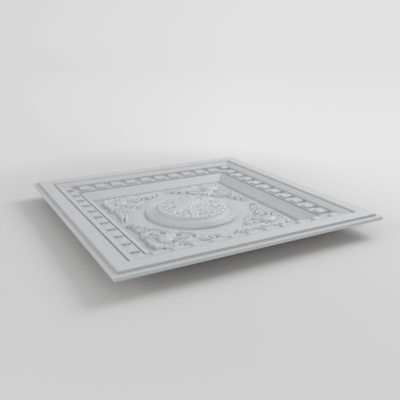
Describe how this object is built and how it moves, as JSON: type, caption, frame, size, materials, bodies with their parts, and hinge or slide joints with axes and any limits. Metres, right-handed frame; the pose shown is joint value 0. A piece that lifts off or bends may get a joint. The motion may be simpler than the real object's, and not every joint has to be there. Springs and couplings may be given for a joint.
{
  "type": "ceiling tile",
  "caption": "Square moulded ceiling tile with a stepped edge flange, a grooved rim, a band of blocks, a hollow cove, a sunk field and a round rosette medallion.",
  "frame": {"origin": "on the floor under the middle of the tile, at the flat back of its tray", "axes": "+Z out of the decorated face, which looks up as the tile lies on its back; +X and +Y along its sides"},
  "size_m": [0.6096, 0.6096, 0.049],
  "materials": {
    "tile": "satin primer coat"
  },
  "bodies": {
    "root": {"ceiling_tile": "tile"}
  },
  "joints": []
}
